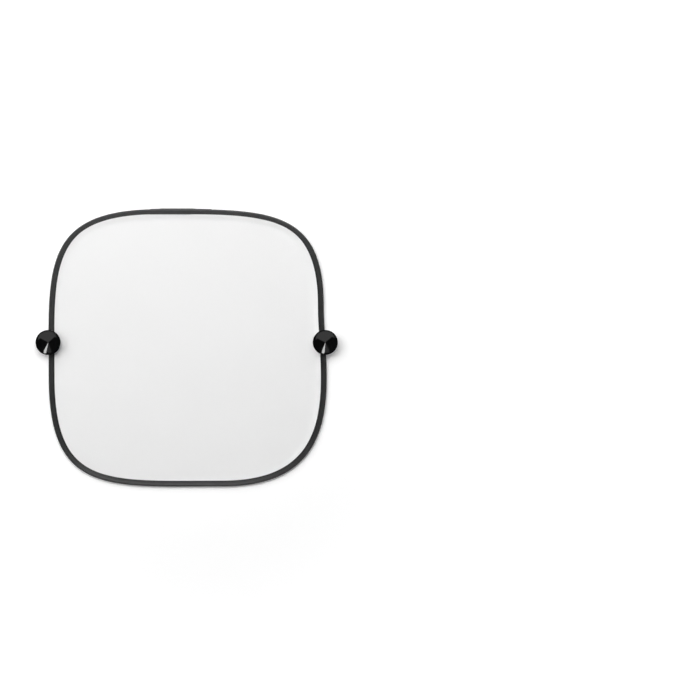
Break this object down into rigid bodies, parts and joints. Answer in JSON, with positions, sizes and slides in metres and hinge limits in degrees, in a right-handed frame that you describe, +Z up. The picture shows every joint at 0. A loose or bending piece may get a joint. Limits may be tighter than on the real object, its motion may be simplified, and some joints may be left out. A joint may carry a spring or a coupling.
{
  "type": "car window sunshade",
  "caption": "Rounded-square mesh shade on a spring-wire hoop with a folded tape edge, held to a side window by suction cups that clip onto the edge and swivel.",
  "frame": {"origin": "under the middle of the whole, on the surface that the backs of the two clip heads lie on", "axes": "+Z up, the way the suction faces point; +X from the left cup to the right cup; +Y towards the top edge, where the wire is joined"},
  "size_m": [0.4224, 0.3898, 0.0178],
  "materials": {
    "spring_steel": "drawn spring steel, hidden inside the tape",
    "white_mesh": "fine knitted polyester mesh, matt",
    "dark_grey_tape": "ribbed woven tape, folded and stitched",
    "black_vinyl": "glossy soft vinyl"
  },
  "bodies": {
    "shade": {"wire_hoop": "spring_steel", "wire_ferrule": "spring_steel", "mesh_panel": "white_mesh", "edge_binding": "dark_grey_tape"},
    "left_cup": {"suction_cup_left": "black_vinyl"},
    "right_cup": {"suction_cup_right": "black_vinyl"}
  },
  "joints": [
    {"name": "left_cup_swivel", "type": "hinge", "parent": "shade", "child": "left_cup", "pos_m": [-0.19183, 0.00702, 0.00435], "axis": [0.0036, -1, 0], "range_deg": [-20, 20]},
    {"name": "right_cup_swivel", "type": "hinge", "parent": "shade", "child": "right_cup", "pos_m": [0.19187, 0.00702, 0.00435], "axis": [-0.06, 0.9982, 0], "range_deg": [-20, 20]}
  ]
}
